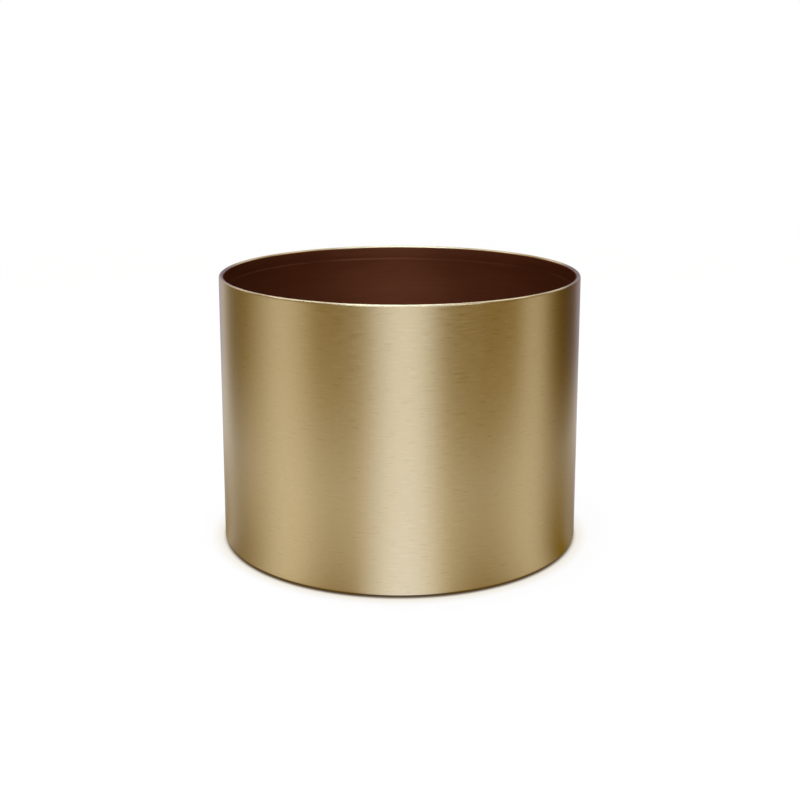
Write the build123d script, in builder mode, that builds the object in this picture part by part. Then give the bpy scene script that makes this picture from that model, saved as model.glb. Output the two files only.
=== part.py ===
from build123d import *

import math
import os

# A round cachepot in brass sheet: a rolled wall with a hemmed rim, a flat base soldered onto the wall's
# turned-in bottom edge, a brown waterproof coat inside and four rubber pads under the base.
# Millimetres, +Z up. The origin is on the table, under the middle of the pot. The seam is at the back, +Y.

# The whole pot
POT_DIAMETER = 160.0
POT_HEIGHT = 120.0
TABLE_GAP = 1.0  # from the table up to the turned-in edge

# The wall, one sheet with the same thickness from the turned-in edge to the end of the hem
SHEET_THICKNESS = 0.8
HEM_SLOT = 0.4  # width of the space left inside the fold
HEM_DEPTH = 6.0  # from the rim's crest to the hem's cut edge
BEND_RADIUS = 0.4  # inside of the bend at the bottom
TURNED_EDGE_WIDTH = 5.0
SEAM_WIDTH = 0.8
SEAM_PLACE = 90.0  # degrees round from +X, so at the back

# The base and the solder that holds it
BASE_THICKNESS = 1.0
BASE_CLEARANCE = 0.2  # between the disc's edge and the wall
SOLDER_LEG = 2.5
SOLDER_HOLLOW = 0.4  # how far the fillet's face dips below a straight line

# The coat inside
COAT_THICKNESS = 0.3

# The hair's breadth that keeps the solder and the coat off the round faces behind them
BOND_GAP = 0.05

# The pads
PAD_COUNT = 4
PAD_DIAMETER = 12.0
PAD_EDGE_RADIUS = 0.5
PAD_CLEARANCE = 9.0  # between a pad and the turned-in edge
FIRST_PAD_PLACE = 45.0  # degrees round from +X

# Radii and heights that the pieces share
pot_radius = POT_DIAMETER / 2
wall_inside = pot_radius - SHEET_THICKNESS
hem_radius = SHEET_THICKNESS + HEM_SLOT / 2
hem_inside = pot_radius - 2 * hem_radius
hem_top = POT_HEIGHT - hem_radius
hem_edge = POT_HEIGHT - HEM_DEPTH
corner_radius = BEND_RADIUS + SHEET_THICKNESS
base_bottom = TABLE_GAP + SHEET_THICKNESS
base_top = base_bottom + BASE_THICKNESS
solder_outside = wall_inside - BOND_GAP
solder_inside = solder_outside - SOLDER_LEG
solder_top = base_top + SOLDER_LEG
pad_circle_radius = pot_radius - TURNED_EDGE_WIDTH - PAD_CLEARANCE - PAD_DIAMETER / 2
seam_angle = math.degrees(SEAM_WIDTH / pot_radius)


def finish_piece(piece, name):
    """Name a finished piece and write its file."""
    piece.part.label = name
    export_step(piece.part, f"parts/{name}.step")


os.makedirs("parts", exist_ok=True)

# The bent sheet's section, with x as the radius and y as the height: along the turned-in edge, up the side
# and over into the hem
with BuildSketch() as sheet_section:
    with BuildLine():
        edge = Line((pot_radius - TURNED_EDGE_WIDTH, TABLE_GAP), (pot_radius - corner_radius, TABLE_GAP))
        corner = JernArc(edge @ 1, edge % 1, corner_radius, 90)
        side = Line(corner @ 1, (pot_radius, hem_top))
        crest = JernArc(side @ 1, side % 1, hem_radius, 180)
        Line(crest @ 1, (hem_inside, hem_edge))
        offset(amount=SHEET_THICKNESS, side=Side.LEFT)
    make_face()

# The wall goes all the way round but for the seam
with BuildPart() as wall:
    with BuildSketch(Plane.XZ.rotated((0, 0, SEAM_PLACE + seam_angle / 2))):
        add(sheet_section.sketch)
    revolve(axis=Axis.Z, revolution_arc=360 - seam_angle)
finish_piece(wall, "wall")

# The brazed seam fills the gap between the strip's two ends
with BuildPart() as wall_seam:
    with BuildSketch(Plane.XZ.rotated((0, 0, SEAM_PLACE - seam_angle / 2))):
        add(sheet_section.sketch)
    revolve(axis=Axis.Z, revolution_arc=seam_angle)
finish_piece(wall_seam, "wall_seam")

# The base lies on the turned-in edge, with its lower edge cut back to clear the bend
with BuildPart() as base_disc:
    with BuildSketch(Plane.XY.offset(base_bottom)):
        Circle(wall_inside - BASE_CLEARANCE)
    extrude(amount=BASE_THICKNESS)
    chamfer(base_disc.faces().sort_by(Axis.Z)[0].edges(), BEND_RADIUS)
finish_piece(base_disc, "base_disc")

# The solder fillet, with a hollow face
with BuildPart() as base_solder:
    with BuildSketch(Plane.XZ):
        with BuildLine():
            Polyline((solder_outside, solder_top), (solder_outside, base_top), (solder_inside, base_top))
            SagittaArc((solder_outside, solder_top), (solder_inside, base_top), SOLDER_HOLLOW)
        make_face()
    revolve(axis=Axis.Z)
finish_piece(base_solder, "base_solder")

# The coat follows the hem, the wall, the solder and the floor with one thickness
with BuildPart() as inner_coat:
    with BuildSketch(Plane.XZ):
        with BuildLine():
            rim_run = Polyline(
                (hem_inside - BOND_GAP, hem_top),
                (hem_inside - BOND_GAP, hem_edge),
                (wall_inside - BOND_GAP, hem_edge),
                (wall_inside - BOND_GAP, solder_top + BOND_GAP),
            )
            floor_run = Line((solder_inside - BOND_GAP, base_top), (0, base_top))
            SagittaArc(rim_run @ 1, floor_run @ 0, SOLDER_HOLLOW)
            offset(amount=COAT_THICKNESS, side=Side.RIGHT)
        make_face()
    revolve(axis=Axis.Z)
finish_piece(inner_coat, "inner_coat")

# Four pads on a circle, each stuck to the underside of the base and rounded where it meets the table
pad_places = PolarLocations(pad_circle_radius, PAD_COUNT, start_angle=FIRST_PAD_PLACE)
for number, place in enumerate(pad_places, start=1):
    with BuildPart() as foot_pad:
        with BuildSketch():
            with Locations(place):
                Circle(PAD_DIAMETER / 2)
        extrude(amount=base_bottom)
        fillet(foot_pad.faces().sort_by(Axis.Z)[0].edges(), PAD_EDGE_RADIUS)
    finish_piece(foot_pad, f"foot_pad_{number}")
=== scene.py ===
import math

import bmesh
import bpy
from mathutils import Matrix, Vector


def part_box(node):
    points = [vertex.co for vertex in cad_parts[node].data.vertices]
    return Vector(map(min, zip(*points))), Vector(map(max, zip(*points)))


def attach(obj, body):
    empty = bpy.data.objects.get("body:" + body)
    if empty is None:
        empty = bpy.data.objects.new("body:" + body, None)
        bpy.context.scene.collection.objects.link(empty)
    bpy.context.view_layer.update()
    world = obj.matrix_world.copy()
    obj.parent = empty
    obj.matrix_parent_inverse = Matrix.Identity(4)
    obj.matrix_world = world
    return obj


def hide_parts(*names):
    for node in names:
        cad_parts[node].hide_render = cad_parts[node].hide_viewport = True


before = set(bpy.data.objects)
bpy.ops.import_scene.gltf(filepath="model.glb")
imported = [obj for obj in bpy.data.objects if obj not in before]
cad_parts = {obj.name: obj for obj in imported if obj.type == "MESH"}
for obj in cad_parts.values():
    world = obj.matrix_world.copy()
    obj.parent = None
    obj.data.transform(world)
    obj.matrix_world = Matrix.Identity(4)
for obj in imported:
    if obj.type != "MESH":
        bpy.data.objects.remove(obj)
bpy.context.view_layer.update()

# A round cachepot in brushed brass sheet with a hemmed rim, brown inside, standing on a white table.
# Metres, in the frame of the CAD model: +Z up, the origin on the table under the middle of the pot,
# and the wall's seam at the back, on +Y.

MM = 0.001

# What the frame gives: the whole pot, its base disc and the seam's strip
wall_low, wall_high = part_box("wall")
base_low, base_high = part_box("base_disc")
seam_low, seam_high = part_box("wall_seam")
pot_radius = wall_high.x
rim_height = wall_high.z
edge_height = wall_low.z
floor_height = base_high.z
seam_angle = (seam_high.x - seam_low.x) / pot_radius
SEAM_BEARING = math.pi / 2

# The bent sheet
SHEET = base_low.z - wall_low.z
HEM_RADIUS = 1.0 * MM
HEM_DEPTH = 6.0 * MM
CORNER_RADIUS = 1.2 * MM
TURNED_EDGE = seam_high.y - seam_low.y

# The coat inside
COAT = 0.3 * MM
BOND_GAP = 0.05 * MM
COAT_OVER = math.radians(20)  # how far the coat runs up over the inner side of the rim's crest
FEATHER = math.radians(8)  # its edge thins out over this much
LIP_RADIUS = 0.3 * MM
RUN_OUT = 14.0 * MM  # the sealer under the hem's cut edge slopes back to the wall over this height
FLOOR_FILLET = 3.1 * MM

# The pads
PAD_NUMBERS = (1, 2, 3, 4)
PAD_EDGE_RADIUS = 0.5 * MM

# How finely the pieces are cut
TURN_STEPS = 256
SEAM_STEPS = 2
PAD_STEPS = 48
BEND_STEP = math.radians(7.5)
SHADE_HOLD = 0.4 * MM  # a ring this far from a bend keeps the bend's shading off the straight run
WELD = 0.001 * MM
SHARP_ANGLE = math.radians(40)

# Radii and heights that the pieces share
wall_inside = pot_radius - SHEET
hem_inside = pot_radius - 2 * HEM_RADIUS
hem_top = rim_height - HEM_RADIUS
hem_edge = rim_height - HEM_DEPTH


# Drawing sections, with X as the radius and Z as the height


def start_section(radius, height):
    """Start a section at one point and return it with its tip."""
    section = bmesh.new()
    return section, section.verts.new((radius, 0.0, height))


def run_to(section, tip, radius, height):
    """Draw a straight run from the tip and return the new tip."""
    end = bmesh.ops.extrude_vert_indiv(section, verts=[tip])["verts"][0]
    end.co = (radius, 0.0, height)
    return end


def bend(section, tip, radius, height, angle):
    """Draw an arc from the tip about a centre, upwards from +X where the angle is positive."""
    steps = max(2, round(abs(angle) / BEND_STEP))
    arc = bmesh.ops.spin(
        section, geom=[tip], cent=(radius, 0, height), axis=(0, -1, 0), angle=angle, steps=steps
    )
    return [item for item in arc["geom_last"] if isinstance(item, bmesh.types.BMVert)][0]


def close_section(section, tip, first):
    """Join the section's tip to its first point."""
    bmesh.ops.contextual_create(section, geom=[tip, first])


def spin_section(section, start, sweep, steps):
    """Spin a section about the Z axis. Less than a full turn gets a face at each end."""
    full_turn = math.isclose(sweep, math.tau)
    bmesh.ops.rotate(section, verts=section.verts, cent=(0, 0, 0), matrix=Matrix.Rotation(start, 3, "Z"))
    bmesh.ops.spin(
        section,
        geom=section.verts[:] + section.edges[:],
        cent=(0, 0, 0),
        axis=(0, 0, 1),
        angle=sweep,
        steps=steps,
        use_merge=full_turn,
    )
    if not full_turn:
        ends = [edge for edge in section.edges if edge.is_boundary]
        bmesh.ops.holes_fill(section, edges=ends)


def finish_piece(shape, name, node, material):
    """Make a smooth piece of a finished shape, in the place of its CAD node."""
    bmesh.ops.remove_doubles(shape, verts=shape.verts, dist=WELD)
    bmesh.ops.recalc_face_normals(shape, faces=shape.faces)
    mesh = bpy.data.meshes.new(name)
    shape.to_mesh(mesh)
    shape.free()
    mesh.shade_smooth()
    mesh.set_sharp_from_angle(angle=SHARP_ANGLE)
    mesh.materials.append(material)
    piece = bpy.data.objects.new(name, mesh)
    bpy.context.scene.collection.objects.link(piece)
    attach(piece, "root")
    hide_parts(node)


# The pieces


def sheet_section():
    """The bent sheet: the turned-in edge, the side and the hem, and back along its inside."""
    corner = pot_radius - CORNER_RADIUS, edge_height + CORNER_RADIUS
    crest = pot_radius - HEM_RADIUS, hem_top
    section, first = start_section(pot_radius - TURNED_EDGE, edge_height)
    tip = run_to(section, first, corner[0] - SHADE_HOLD, edge_height)
    tip = run_to(section, tip, corner[0], edge_height)
    tip = bend(section, tip, *corner, math.pi / 2)
    tip = run_to(section, tip, pot_radius, corner[1] + SHADE_HOLD)
    tip = run_to(section, tip, pot_radius, hem_top - SHADE_HOLD)
    tip = run_to(section, tip, pot_radius, hem_top)
    tip = bend(section, tip, *crest, math.pi)
    tip = run_to(section, tip, hem_inside, hem_top - SHADE_HOLD)
    tip = run_to(section, tip, hem_inside, hem_edge)
    tip = run_to(section, tip, hem_inside + SHEET, hem_edge)
    tip = run_to(section, tip, hem_inside + SHEET, hem_top)
    tip = bend(section, tip, *crest, -math.pi)
    tip = run_to(section, tip, wall_inside, hem_top - SHADE_HOLD)
    tip = run_to(section, tip, wall_inside, corner[1] + SHADE_HOLD)
    tip = run_to(section, tip, wall_inside, corner[1])
    tip = bend(section, tip, *corner, -math.pi / 2)
    tip = run_to(section, tip, pot_radius - TURNED_EDGE, edge_height + SHEET)
    close_section(section, tip, first)
    return section


def make_wall():
    """The rolled strip, all the way round but for the seam."""
    wall = sheet_section()
    spin_section(wall, SEAM_BEARING + seam_angle / 2, math.tau - seam_angle, TURN_STEPS)
    finish_piece(wall, "brass_wall", "wall", brushed_brass())


def make_wall_seam():
    """The brazed joint between the strip's two ends."""
    seam = sheet_section()
    spin_section(seam, SEAM_BEARING - seam_angle / 2, seam_angle, SEAM_STEPS)
    finish_piece(seam, "brazed_seam", "wall_seam", brazed_joint())


def crest_point(crest, radius, angle):
    """A point on the inner side of the rim's crest, at an angle up from the level of its centre."""
    return crest[0] - radius * math.cos(angle), crest[1] + radius * math.sin(angle)


def make_inner_coat():
    """The coat over the hem, wall and floor: its open face from the rim down, then its bonded face."""
    rim_back = hem_inside - BOND_GAP
    wall_back = wall_inside - BOND_GAP
    lip_height = hem_edge - COAT
    wall_front = wall_back - COAT
    floor_front = floor_height + COAT
    fillet = wall_front - FLOOR_FILLET, floor_front + FLOOR_FILLET
    crest = pot_radius - HEM_RADIUS, hem_top
    back_radius = HEM_RADIUS + BOND_GAP
    back_end = crest_point(crest, back_radius, COAT_OVER)
    front_end = crest_point(crest, back_radius + COAT, COAT_OVER - FEATHER)
    coat, tip = start_section(*back_end)
    tip = run_to(coat, tip, *front_end)
    tip = bend(coat, tip, *crest, COAT_OVER - FEATHER)
    tip = run_to(coat, tip, rim_back - COAT, lip_height + LIP_RADIUS)
    tip = run_to(coat, tip, rim_back - COAT + LIP_RADIUS * 0.3, lip_height)
    tip = run_to(coat, tip, wall_front, lip_height - RUN_OUT)
    tip = run_to(coat, tip, wall_front, fillet[1] + SHADE_HOLD)
    tip = run_to(coat, tip, wall_front, fillet[1])
    tip = bend(coat, tip, *fillet, -math.pi / 2)
    tip = run_to(coat, tip, fillet[0] - SHADE_HOLD, floor_front)
    tip = run_to(coat, tip, 0.0, floor_front)
    tip = run_to(coat, tip, 0.0, floor_height)
    tip = run_to(coat, tip, fillet[0], floor_height)
    tip = bend(coat, tip, *fillet, math.pi / 2)
    tip = run_to(coat, tip, wall_back, hem_edge)
    tip = run_to(coat, tip, rim_back, hem_edge)
    tip = run_to(coat, tip, rim_back, hem_top)
    bend(coat, tip, *crest, -COAT_OVER)
    spin_section(coat, 0.0, math.tau, TURN_STEPS)
    finish_piece(coat, "brown_coat", "inner_coat", brown_lacquer())


def make_foot_pads():
    """Four stuck-on pads, each rounded where it meets the table."""
    rubber = moulded_rubber()
    for number in PAD_NUMBERS:
        node = f"foot_pad_{number}"
        low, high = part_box(node)
        radius = (high.x - low.x) / 2
        edge = radius - PAD_EDGE_RADIUS, low.z + PAD_EDGE_RADIUS
        pad, tip = start_section(0.0, low.z)
        tip = run_to(pad, tip, edge[0] - SHADE_HOLD, low.z)
        tip = run_to(pad, tip, edge[0], low.z)
        tip = bend(pad, tip, *edge, math.pi / 2)
        tip = run_to(pad, tip, radius, high.z)
        run_to(pad, tip, 0.0, high.z)
        spin_section(pad, 0.0, math.tau, PAD_STEPS)
        middle = (low + high) / 2
        bmesh.ops.translate(pad, verts=pad.verts, vec=(middle.x, middle.y, 0.0))
        finish_piece(pad, f"rubber_pad_{number}", node, rubber)


# Materials


def linear(hex_colour):
    """A colour written as sRGB hex, in the linear values that shaders take."""
    shares = [int(hex_colour[place:place + 2], 16) / 255 for place in (1, 3, 5)]
    values = [share / 12.92 if share <= 0.04045 else ((share + 0.055) / 1.055) ** 2.4 for share in shares]
    return (*values, 1.0)


def add(tree, kind, inputs=None, **settings):
    """Add a node with its settings. Each input takes a value or another node's output."""
    node = tree.nodes.new(kind)
    for name, value in settings.items():
        setattr(node, name, value)
    for socket, value in (inputs or {}).items():
        if isinstance(value, bpy.types.NodeSocket):
            tree.links.new(value, node.inputs[socket])
        else:
            node.inputs[socket].default_value = value
    return node


def start_material(name, inputs):
    """A material with one surface shader, and that shader's plain settings."""
    material = bpy.data.materials.new(name)
    material.use_nodes = True
    tree = material.node_tree
    tree.nodes.clear()
    shader = add(tree, "ShaderNodeBsdfPrincipled", inputs)
    add(tree, "ShaderNodeOutputMaterial", {"Surface": shader.outputs["BSDF"]})
    return material, tree, shader


def polar_place(tree):
    """A place's bearing round the pot, from the front to the right, and its radius and height."""
    place = add(tree, "ShaderNodeTexCoord").outputs["Object"]
    axes = add(tree, "ShaderNodeSeparateXYZ", {"Vector": place}).outputs
    front = add(tree, "ShaderNodeMath", {0: axes["Y"], 1: -1.0}, operation="MULTIPLY").outputs[0]
    bearing = add(tree, "ShaderNodeMath", {0: axes["X"], 1: front}, operation="ARCTAN2").outputs[0]
    flat = add(tree, "ShaderNodeVectorMath", {0: place, 1: (1, 1, 0)}, operation="MULTIPLY").outputs[0]
    radius = add(tree, "ShaderNodeVectorMath", {0: flat}, operation="LENGTH").outputs["Value"]
    return bearing, radius, axes["Z"]


def follow_the_wall(tree):
    """A place on the pot as the distance round it from the front, and its height less its radius."""
    bearing, radius, height = polar_place(tree)
    girth = add(tree, "ShaderNodeMath", {0: bearing, 1: pot_radius}, operation="MULTIPLY").outputs[0]
    rise = add(tree, "ShaderNodeMath", {0: height, 1: radius}, operation="SUBTRACT").outputs[0]
    return add(tree, "ShaderNodeCombineXYZ", {"X": girth, "Y": rise}).outputs[0]


def streaks(tree, place, length, width, detail):
    """A noise drawn out into streaks of a real length and width."""
    stretched = add(tree, "ShaderNodeMapping", {"Vector": place, "Scale": (1 / length, 1 / width, 1)})
    noise = {"Vector": stretched.outputs[0], "Scale": 1.0, "Detail": detail, "Roughness": 0.6}
    return add(tree, "ShaderNodeTexNoise", noise, noise_dimensions="2D").outputs["Fac"]


# Brass sheet, brushed round the pot with a fine belt and clear lacquered: a pale gold metal whose
# reflections are drawn out up and down, with fine broken lines round the pot.
# The belt's scratches are about 0.1 mm wide, too fine to show, so they are drawn 0.8 mm wide. A few deeper
# marks stand out from the rest.
SCRATCH_LENGTH = 4 * MM
SCRATCH_WIDTH = 0.8 * MM
MARK_LENGTH = 7 * MM
MARK_WIDTH = 0.9 * MM


def brushed_brass():
    metal = {"Metallic": 1.0, "Anisotropic": 0.85, "Anisotropic Rotation": 0.25}
    lacquer = {"Coat Weight": 1.0, "Coat Roughness": 0.15}
    material, tree, shader = start_material("brushed_lacquered_brass", metal | lacquer)
    place = follow_the_wall(tree)
    scratch = streaks(tree, place, SCRATCH_LENGTH, SCRATCH_WIDTH, 3.0)
    tone = {"Value": scratch, "From Min": 0.2, "From Max": 0.8}
    share = add(tree, "ShaderNodeMapRange", tone).outputs[0]
    colours = {0: share, 6: linear("#D7BF8A"), 7: linear("#DDC58F")}
    plain = add(tree, "ShaderNodeMix", colours, data_type="RGBA").outputs[2]
    mark = streaks(tree, place, MARK_LENGTH, MARK_WIDTH, 1.0)
    low = {"Value": mark, "From Min": 0.34, "From Max": 0.22}
    dark_share = add(tree, "ShaderNodeMapRange", low).outputs[0]
    high = {"Value": mark, "From Min": 0.66, "From Max": 0.78}
    light_share = add(tree, "ShaderNodeMapRange", high).outputs[0]
    darks = {0: dark_share, 6: plain, 7: linear("#D1B883")}
    marked = add(tree, "ShaderNodeMix", darks, data_type="RGBA").outputs[2]
    lights = {0: light_share, 6: marked, 7: linear("#E0C995")}
    colour = add(tree, "ShaderNodeMix", lights, data_type="RGBA").outputs[2]
    gloss = {"Value": mark, "From Min": 0.3, "From Max": 0.7, "To Min": 0.31, "To Max": 0.35}
    roughness = add(tree, "ShaderNodeMapRange", gloss).outputs[0]
    relief = {"Height": scratch, "Strength": 0.04, "Distance": 0.02 * MM}
    normal = add(tree, "ShaderNodeBump", relief).outputs[0]
    tree.links.new(colour, shader.inputs["Base Color"])
    tree.links.new(roughness, shader.inputs["Roughness"])
    tree.links.new(normal, shader.inputs["Normal"])
    return material


# Brazing brass, ground flush and brushed over: a shade paler and duller than the sheet, with pits.
PIT_SIZE = 0.6 * MM


def brazed_joint():
    material, tree, shader = start_material(
        "ground_brazing_brass", {"Metallic": 1.0, "Coat Weight": 0.25, "Coat Roughness": 0.2}
    )
    place = add(tree, "ShaderNodeTexCoord").outputs["Object"]
    grain = {"Vector": place, "Scale": 1 / PIT_SIZE, "Detail": 3.0}
    pits = add(tree, "ShaderNodeTexNoise", grain).outputs["Fac"]
    colours = {0: pits, 6: linear("#CDBD95"), 7: linear("#E0D2B0")}
    colour = add(tree, "ShaderNodeMix", colours, data_type="RGBA").outputs[2]
    gloss = {"Value": pits, "From Min": 0.3, "From Max": 0.7, "To Min": 0.36, "To Max": 0.48}
    roughness = add(tree, "ShaderNodeMapRange", gloss).outputs[0]
    tree.links.new(colour, shader.inputs["Base Color"])
    tree.links.new(roughness, shader.inputs["Roughness"])
    return material


# Plain rolled brass sheet: a deeper gold than the brushed wall, with a straight rolling grain and
# cloudy patches of tarnish. The rolling lines are drawn 0.8 mm wide: real ones are too fine to show.
ROLLING_LENGTH = 40 * MM
ROLLING_WIDTH = 0.8 * MM
TARNISH_SIZE = 25 * MM


def rolled_brass():
    material, tree, shader = start_material("rolled_brass_sheet", {"Metallic": 1.0})
    place = add(tree, "ShaderNodeTexCoord").outputs["Object"]
    grain = streaks(tree, place, ROLLING_LENGTH, ROLLING_WIDTH, 3.0)
    clouds = {"Vector": place, "Scale": 1 / TARNISH_SIZE, "Detail": 4.0}
    tarnish = add(tree, "ShaderNodeTexNoise", clouds).outputs["Fac"]
    colours = {0: tarnish, 6: linear("#A98D5B"), 7: linear("#CDB27E")}
    colour = add(tree, "ShaderNodeMix", colours, data_type="RGBA").outputs[2]
    gloss = {"Value": grain, "From Min": 0.3, "From Max": 0.7, "To Min": 0.32, "To Max": 0.46}
    roughness = add(tree, "ShaderNodeMapRange", gloss).outputs[0]
    tree.links.new(colour, shader.inputs["Base Color"])
    tree.links.new(roughness, shader.inputs["Roughness"])
    return material


# Tin solder, wiped while hot: a dull grey metal with a frosty grain.
FROST_SIZE = 0.8 * MM


def tin_solder():
    material, tree, shader = start_material("wiped_tin_solder", {"Metallic": 1.0})
    place = add(tree, "ShaderNodeTexCoord").outputs["Object"]
    grain = {"Vector": place, "Scale": 1 / FROST_SIZE, "Detail": 3.0}
    frost = add(tree, "ShaderNodeTexNoise", grain).outputs["Fac"]
    colours = {0: frost, 6: linear("#A9A9AB"), 7: linear("#C9C9CC")}
    colour = add(tree, "ShaderNodeMix", colours, data_type="RGBA").outputs[2]
    gloss = {"Value": frost, "From Min": 0.3, "From Max": 0.7, "To Min": 0.42, "To Max": 0.58}
    roughness = add(tree, "ShaderNodeMapRange", gloss).outputs[0]
    tree.links.new(colour, shader.inputs["Base Color"])
    tree.links.new(roughness, shader.inputs["Roughness"])
    return material


# Brown waterproof lacquer, sprayed over the brushed brass: a dark reddish brown with a satin shine.
# The brushing shows through it as faint lines. Along the hem's edge it is thin and carries a painted
# highlight, and on the hem above that it is painted darker towards the rim, as painted shade.
COAT_LINE_LENGTH = 30 * MM
COAT_LINE_WIDTH = 1.2 * MM
THIN_EDGE_HIGHLIGHT_HEIGHT = 0.6 * MM
THIN_EDGE_HIGHLIGHT_LENGTH = 50 * MM


def brown_lacquer():
    satin = {"Metallic": 0.95, "Specular Tint": linear("#8A5A40")}
    brushing = {"Anisotropic": 0.6, "Anisotropic Rotation": 0.25}
    material, tree, shader = start_material("brown_lacquer_over_brass", satin | brushing)
    place = follow_the_wall(tree)
    lines = streaks(tree, place, COAT_LINE_LENGTH, COAT_LINE_WIDTH, 3.0)
    tone = {"Value": lines, "From Min": 0.3, "From Max": 0.7}
    share = add(tree, "ShaderNodeMapRange", tone).outputs[0]
    colours = {0: share, 6: linear("#915636"), 7: linear("#995C3C")}
    colour = add(tree, "ShaderNodeMix", colours, data_type="RGBA").outputs[2]
    # Painted highlight along the hem's cut edge, in patches, where the lacquer is also thin.
    height = polar_place(tree)[2]
    edge_level = {0: height, 1: hem_edge - COAT}
    from_edge = add(tree, "ShaderNodeMath", edge_level, operation="SUBTRACT").outputs[0]
    distance = add(tree, "ShaderNodeMath", {0: from_edge}, operation="ABSOLUTE").outputs[0]
    fade = {"Value": distance, "From Min": 0.0, "From Max": THIN_EDGE_HIGHLIGHT_HEIGHT, "To Min": 1.0, "To Max": 0.0}
    near_edge = add(tree, "ShaderNodeMapRange", fade).outputs[0]
    wander = streaks(tree, place, THIN_EDGE_HIGHLIGHT_LENGTH, THIN_EDGE_HIGHLIGHT_LENGTH, 1.0)
    patches = {"Value": wander, "From Min": 0.35, "From Max": 0.65, "To Min": 0.2, "To Max": 0.8}
    patchy = add(tree, "ShaderNodeMapRange", patches).outputs[0]
    thin_coat_highlight = add(tree, "ShaderNodeMath", {0: near_edge, 1: patchy}, operation="MULTIPLY").outputs[0]
    # Painted shade: the hem above its cut edge is painted darker, more so towards the rim.
    over = {"Value": from_edge, "From Min": 0.0, "From Max": HEM_DEPTH, "To Min": 0.2, "To Max": 0.5}
    painted_rim_shade = add(tree, "ShaderNodeMapRange", over).outputs[0]
    above = add(tree, "ShaderNodeMath", {0: from_edge, 1: 0.0}, operation="GREATER_THAN").outputs[0]
    painted_rim_shade_share = add(tree, "ShaderNodeMath", {0: painted_rim_shade, 1: above}, operation="MULTIPLY").outputs[0]
    coats = {0: painted_rim_shade_share, 6: colour, 7: linear("#5E3320")}
    rim_shaded_colour = add(tree, "ShaderNodeMix", coats, data_type="RGBA").outputs[2]
    edges = {0: thin_coat_highlight, 6: rim_shaded_colour, 7: linear("#BC8660")}
    thin_and_highlit = add(tree, "ShaderNodeMix", edges, data_type="RGBA").outputs[2]
    gloss = {"Value": lines, "From Min": 0.3, "From Max": 0.7, "To Min": 0.48, "To Max": 0.54}
    roughness = add(tree, "ShaderNodeMapRange", gloss).outputs[0]
    tree.links.new(thin_and_highlit, shader.inputs["Base Color"])
    tree.links.new(roughness, shader.inputs["Roughness"])
    return material


# Moulded black rubber: matte, with a fine even grain, and greyer where dust has settled.
GRAIN_SIZE = 0.4 * MM
DUST_SIZE = 5 * MM


def moulded_rubber():
    material, tree, shader = start_material("moulded_rubber", {"IOR": 1.5})
    place = add(tree, "ShaderNodeTexCoord").outputs["Object"]
    fine = {"Vector": place, "Scale": 1 / GRAIN_SIZE, "Detail": 2.0}
    grain = add(tree, "ShaderNodeTexNoise", fine).outputs["Fac"]
    patches = {"Vector": place, "Scale": 1 / DUST_SIZE, "Detail": 4.0}
    dust = add(tree, "ShaderNodeTexNoise", patches).outputs["Fac"]
    colours = {0: dust, 6: linear("#2A2725"), 7: linear("#3A3734")}
    colour = add(tree, "ShaderNodeMix", colours, data_type="RGBA").outputs[2]
    gloss = {"Value": grain, "From Min": 0.3, "From Max": 0.7, "To Min": 0.66, "To Max": 0.82}
    roughness = add(tree, "ShaderNodeMapRange", gloss).outputs[0]
    relief = {"Height": grain, "Strength": 0.3, "Distance": 0.05 * MM}
    normal = add(tree, "ShaderNodeBump", relief).outputs[0]
    tree.links.new(colour, shader.inputs["Base Color"])
    tree.links.new(roughness, shader.inputs["Roughness"])
    tree.links.new(normal, shader.inputs["Normal"])
    return material


def dress_node(node, material):
    """Give a CAD node that stays as it is a finished material."""
    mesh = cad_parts[node].data
    mesh.materials.clear()
    mesh.materials.append(material)


# The table, the studio and the camera

TABLE_RADIUS = 1.2
TABLE_CLEAR = 0.3  # out to here the table is solid, and from here it fades into the white room
UNDER_POT = 0.07
# Within these distances of the pot's foot the table's glow carries a painted contact shadow and a painted
# warm halo.
CONTACT_SHADE = 3 * MM
WARM_SHADE = 7 * MM  # brass light that the wall throws back on the table
TABLE_GLOW = 0.85
ROOM_LIGHT = 0.7
CEILING_COLOUR = "#7A6648"
CEILING_FROM = 0.0
CEILING_FULL = math.sin(math.radians(30))
BACKDROP_RISE = 0.5  # how much higher the white reaches at the back, as a sine


def seen_directly(tree):
    """1 for what the camera, a mirror or a clear piece sees, and 0 for light off matt surfaces."""
    path = add(tree, "ShaderNodeLightPath").outputs
    direct = {0: path["Is Camera Ray"], 1: path["Is Glossy Ray"]}
    seen = add(tree, "ShaderNodeMath", direct, operation="MAXIMUM").outputs[0]
    clear = {0: seen, 1: path["Is Transmission Ray"]}
    return add(tree, "ShaderNodeMath", clear, operation="MAXIMUM").outputs[0]


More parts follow.
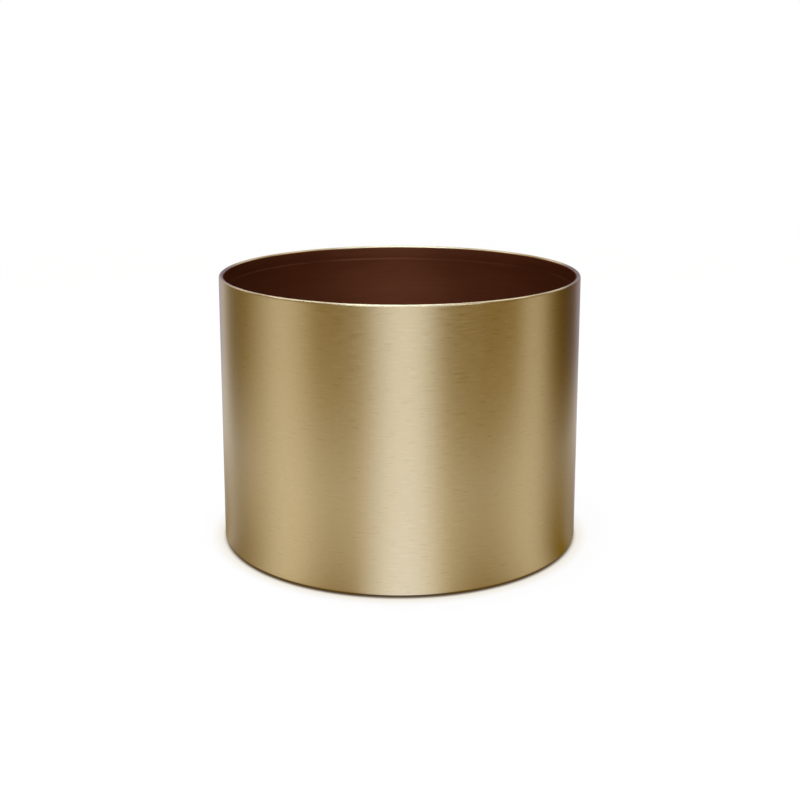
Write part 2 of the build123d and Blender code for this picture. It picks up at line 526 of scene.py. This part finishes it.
def make_room():
    """A white room at a plain level of light. Mirrors see its dim ceiling and its white backdrop."""
    world = bpy.data.worlds.new("white_room")
    bpy.context.scene.world = world
    world.use_nodes = True
    tree = world.node_tree
    tree.nodes.clear()
    light = add(tree, "ShaderNodeBackground", {"Color": linear("#FFFFFF"), "Strength": ROOM_LIGHT})
    direction = add(tree, "ShaderNodeTexCoord").outputs["Generated"]
    axes = add(tree, "ShaderNodeSeparateXYZ", {0: direction}).outputs
    backwards = {"Value": axes["Y"], "From Min": 0.1, "From Max": 0.9, "To Max": BACKDROP_RISE}
    rise = add(tree, "ShaderNodeMapRange", backwards, interpolation_type="SMOOTHSTEP").outputs[0]
    over = add(tree, "ShaderNodeMath", {0: axes["Z"], 1: rise}, operation="SUBTRACT").outputs[0]
    climb = {"Value": over, "From Min": CEILING_FROM, "From Max": CEILING_FULL}
    high = add(tree, "ShaderNodeMapRange", climb, interpolation_type="SMOOTHSTEP").outputs[0]
    reflected = add(tree, "ShaderNodeLightPath").outputs["Is Glossy Ray"]
    share = add(tree, "ShaderNodeMath", {0: high, 1: reflected}, operation="MULTIPLY").outputs[0]
    colours = {0: share, 6: linear("#FFFFFF"), 7: linear(CEILING_COLOUR)}
    colour = add(tree, "ShaderNodeMix", colours, data_type="RGBA").outputs[2]
    white = add(tree, "ShaderNodeBackground", {"Color": colour, "Strength": 1.0})
    mixed = {0: seen_directly(tree), 1: light.outputs[0], 2: white.outputs[0]}
    room = add(tree, "ShaderNodeMixShader", mixed)
    add(tree, "ShaderNodeOutputWorld", {"Surface": room.outputs[0]})


def white_table():
    """White laminate that takes the pot's shadow and fades into the room further out. Its glow carries a
    painted contact shadow and a painted warm halo round the pot's foot.

    It is clear from below and well under the pot, so that the pot's underside can be seen.
    """
    material = bpy.data.materials.new("white_table")
    material.use_nodes = True
    tree = material.node_tree
    tree.nodes.clear()
    matt = add(tree, "ShaderNodeBsdfDiffuse", {"Color": linear("#F4F4F4")})
    dim = add(tree, "ShaderNodeBsdfDiffuse", {"Color": linear("#6E6A64")})
    # Painted contact shadow: the glow turns dark brown where the pot's edge is near.
    near = add(tree, "ShaderNodeAmbientOcclusion", {"Distance": CONTACT_SHADE}, samples=16).outputs["AO"]
    out_from_under = {"Value": near, "From Min": 0.3, "From Max": 0.8}
    clear_of_painted_shadow = add(tree, "ShaderNodeMapRange", out_from_under, interpolation_type="SMOOTHSTEP").outputs[0]
    # Painted warm halo a little further out.
    far = add(tree, "ShaderNodeAmbientOcclusion", {"Distance": WARM_SHADE}, samples=16).outputs["AO"]
    further_out = {"Value": far, "From Min": 0.5, "From Max": 1.0}
    open_share = add(tree, "ShaderNodeMapRange", further_out).outputs[0]
    painted_halo_colours = {0: open_share, 6: linear("#EFE7D6"), 7: linear("#FFFFFF")}
    painted_halo = add(tree, "ShaderNodeMix", painted_halo_colours, data_type="RGBA").outputs[2]
    painted_shadow_colours = {0: clear_of_painted_shadow, 6: linear("#4A3510"), 7: painted_halo}
    tone = add(tree, "ShaderNodeMix", painted_shadow_colours, data_type="RGBA").outputs[2]
    glow = add(tree, "ShaderNodeEmission", {"Color": tone, "Strength": TABLE_GLOW})
    shown = add(tree, "ShaderNodeAddShader", {0: dim.outputs[0], 1: glow.outputs[0]})
    mixed = {0: seen_directly(tree), 1: matt.outputs[0], 2: shown.outputs[0]}
    solid = add(tree, "ShaderNodeMixShader", mixed)
    place = add(tree, "ShaderNodeTexCoord").outputs["Object"]
    radius = add(tree, "ShaderNodeVectorMath", {0: place}, operation="LENGTH").outputs["Value"]
    fade = {"Value": radius, "From Min": TABLE_CLEAR, "From Max": TABLE_RADIUS}
    faded = add(tree, "ShaderNodeMapRange", fade, interpolation_type="SMOOTHSTEP").outputs[0]
    below = add(tree, "ShaderNodeNewGeometry").outputs["Backfacing"]
    seen_through = add(tree, "ShaderNodeMath", {0: faded, 1: below}, operation="MAXIMUM").outputs[0]
    under = add(tree, "ShaderNodeMath", {0: radius, 1: UNDER_POT}, operation="LESS_THAN").outputs[0]
    share = add(tree, "ShaderNodeMath", {0: seen_through, 1: under}, operation="MAXIMUM").outputs[0]
    clear = add(tree, "ShaderNodeBsdfTransparent")
    table = add(tree, "ShaderNodeMixShader", {0: share, 1: solid.outputs[0], 2: clear.outputs[0]})
    add(tree, "ShaderNodeOutputMaterial", {"Surface": table.outputs[0]})
    return material


def add_stage(shape, name, material):
    """Put a finished shape on the stage, outside the object."""
    mesh = bpy.data.meshes.new(name)
    shape.to_mesh(mesh)
    shape.free()
    mesh.materials.append(material)
    thing = bpy.data.objects.new(name, mesh)
    bpy.context.scene.collection.objects.link(thing)
    return thing


def make_table():
    """A round white table top."""
    table = bmesh.new()
    bmesh.ops.create_circle(table, cap_ends=True, segments=128, radius=TABLE_RADIUS)
    add_stage(table, "table", white_table())


# What the brushed finish mirrors, and nothing else sees: brown curtains round the studio, lilac backdrops
# behind and a window's cool daylight in front. They are painted on a clear sheet that lies on the table
# and then stands up round the pot. Each has its place on the wall that mirrors it, in degrees from the
# front to the right, its half-width there, how much it covers at the pot's foot, in the middle of the
# table and at the fold, its colour and its strength.
SHEET_START = 0.0785
SHEET_MIDDLE = 0.2
SHEET_FOLD = 0.42
SHEET_HEIGHT = 0.3
SHEET_LIFT = 0.5 * MM
SHEET_STEPS = 96
BROWN = "#7E6500"
DARK_BROWN = "#4E3600"
LILAC = "#7E7288"
COOL_WHITE = "#D5DFFF"
MIRRORED = {
    "left_backdrop": (-94, 33, (0.4, 0.2, 1.0), LILAC, 1.0),
    "left_rear_curtain": (-84, 24, (0.85, 0.5, 0.0), BROWN, 1.0),
    "left_side_curtain": (-58, 30, (0.84, 0.45, 0.95), BROWN, 1.0),
    "left_side_fold": (-65, 12, (0.32, 0.3, 0.6), DARK_BROWN, 1.0),
    "left_front_curtain": (-18, 27, (0.76, 0.24, 1.25), BROWN, 1.0),
    "right_front_curtain": (25, 28, (0.82, 0.34, 1.8), BROWN, 1.0),
    "right_front_fold": (38, 14, (0.2, 0.0, 0.0), BROWN, 1.0),
    "right_side_curtain": (64, 30, (1.0, 0.73, 1.12), BROWN, 1.0),
    "right_side_fold": (67, 20, (0.0, 0.0, 1.0), DARK_BROWN, 1.0),
    "right_rear_curtain": (84, 24, (0.85, 0.45, 0.0), BROWN, 1.0),
    "right_backdrop": (94, 33, (0.4, 0.2, 1.0), LILAC, 1.0),
    "window": (1, 16, (1.0, 1.0, 0.6), COOL_WHITE, 1.57),
}


def share_along(tree, radius, near, middle, far):
    """A share that changes from the pot's foot to the middle of the table, and from there to the fold."""
    inner = {"Value": radius, "From Min": SHEET_START, "From Max": SHEET_MIDDLE}
    start = add(tree, "ShaderNodeMapRange", inner | {"To Min": near, "To Max": middle}).outputs[0]
    outer = {"Value": radius, "From Min": SHEET_MIDDLE, "From Max": SHEET_FOLD}
    change = add(tree, "ShaderNodeMapRange", outer | {"To Min": 0.0, "To Max": far - middle}).outputs[0]
    return add(tree, "ShaderNodeMath", {0: start, 1: change}, operation="ADD").outputs[0]


def mirrored_studio():
    """A clear sheet with the curtains and the window, each of which fades towards its two sides."""
    material = bpy.data.materials.new("mirrored_studio")
    material.use_nodes = True
    tree = material.node_tree
    tree.nodes.clear()
    bearing, radius = polar_place(tree)[:2]
    nearness = add(tree, "ShaderNodeMath", {0: pot_radius, 1: radius}, operation="DIVIDE").outputs[0]
    spread = add(tree, "ShaderNodeMath", {0: 2.0, 1: nearness}, operation="SUBTRACT").outputs[0]
    wall_place = add(tree, "ShaderNodeMath", {0: bearing, 1: spread}, operation="DIVIDE").outputs[0]
    sheet = add(tree, "ShaderNodeBsdfTransparent").outputs[0]
    for place, half_width, shares, colour, strength in MIRRORED.values():
        off = {0: wall_place, 1: math.radians(place)}
        offset = add(tree, "ShaderNodeMath", off, operation="SUBTRACT").outputs[0]
        aside = add(tree, "ShaderNodeMath", {0: offset}, operation="ABSOLUTE").outputs[0]
        fade = {"Value": aside, "From Min": math.radians(half_width), "From Max": 0.0}
        across = add(tree, "ShaderNodeMapRange", fade, interpolation_type="SMOOTHSTEP").outputs[0]
        cover = {0: across, 1: share_along(tree, radius, *shares)}
        covered = add(tree, "ShaderNodeMath", cover, operation="MULTIPLY", use_clamp=True).outputs[0]
        tone = add(tree, "ShaderNodeEmission", {"Color": linear(colour), "Strength": strength}).outputs[0]
        sheet = add(tree, "ShaderNodeMixShader", {0: covered, 1: sheet, 2: tone}).outputs[0]
    add(tree, "ShaderNodeOutputMaterial", {"Surface": sheet})
    return material


def make_mirrored_studio():
    """The clear sheet, along the table and up round the pot, which only mirrors see."""
    sheet, tip = start_section(SHEET_START, SHEET_LIFT)
    tip = run_to(sheet, tip, SHEET_FOLD, SHEET_LIFT)
    run_to(sheet, tip, SHEET_FOLD, SHEET_HEIGHT)
    spin_section(sheet, 0.0, math.tau, SHEET_STEPS)
    studio = add_stage(sheet, "mirrored_studio", mirrored_studio())
    studio.visible_camera = False
    studio.visible_diffuse = False
    studio.visible_transmission = False
    studio.visible_shadow = False


# Soft lamps in front, behind to both sides and over the pot: place, width, depth, power and colour.
LAMPS = {
    "front_softbox": (Vector((0.12, -0.75, 0.85)), 1.5, 0.2, 6.4, "#C8DCFF"),
    "left_softbox": (Vector((-0.5, 0.29, 0.94)), 0.4, 0.4, 1.7, "#DCE8FF"),
    "right_softbox": (Vector((0.5, 0.29, 0.94)), 0.4, 0.4, 1.4, "#DCE8FF"),
    "top_softbox": (Vector((-0.05, 0.05, 0.8)), 0.6, 0.3, 3.4, "#C0D8FF"),
}


def make_lamps():
    """The soft lamps, each turned towards the pot's foot."""
    for name, (place, width, depth, power, colour) in LAMPS.items():
        light = bpy.data.lights.new(name, "AREA")
        light.shape = "RECTANGLE"
        light.size = width
        light.size_y = depth
        light.energy = power
        light.color = linear(colour)[:3]
        lamp = bpy.data.objects.new(name, light)
        lamp.location = place
        lamp.rotation_euler = (-place).to_track_quat("-Z", "Y").to_euler()
        bpy.context.scene.collection.objects.link(lamp)


CAMERA_PLACE = (0.0, -0.549, 0.2109)
CAMERA_TILT = math.radians(11)
CAMERA_LENS = 56.11
CAMERA_SHIFT = 0.0004, -0.1176


def make_camera():
    """A camera a little above the rim, in front of the pot."""
    optics = bpy.data.cameras.new("camera")
    optics.lens = CAMERA_LENS
    optics.sensor_width = 36.0
    optics.shift_x, optics.shift_y = CAMERA_SHIFT
    camera = bpy.data.objects.new("camera", optics)
    camera.location = CAMERA_PLACE
    camera.rotation_euler = (math.pi / 2 - CAMERA_TILT, 0.0, 0.0)
    bpy.context.scene.collection.objects.link(camera)
    bpy.context.scene.camera = camera


make_wall()
make_wall_seam()
make_inner_coat()
make_foot_pads()
dress_node("base_disc", rolled_brass())
dress_node("base_solder", tin_solder())
make_room()
make_table()
make_mirrored_studio()
make_lamps()
make_camera()
bpy.context.scene.view_settings.view_transform = "Standard"
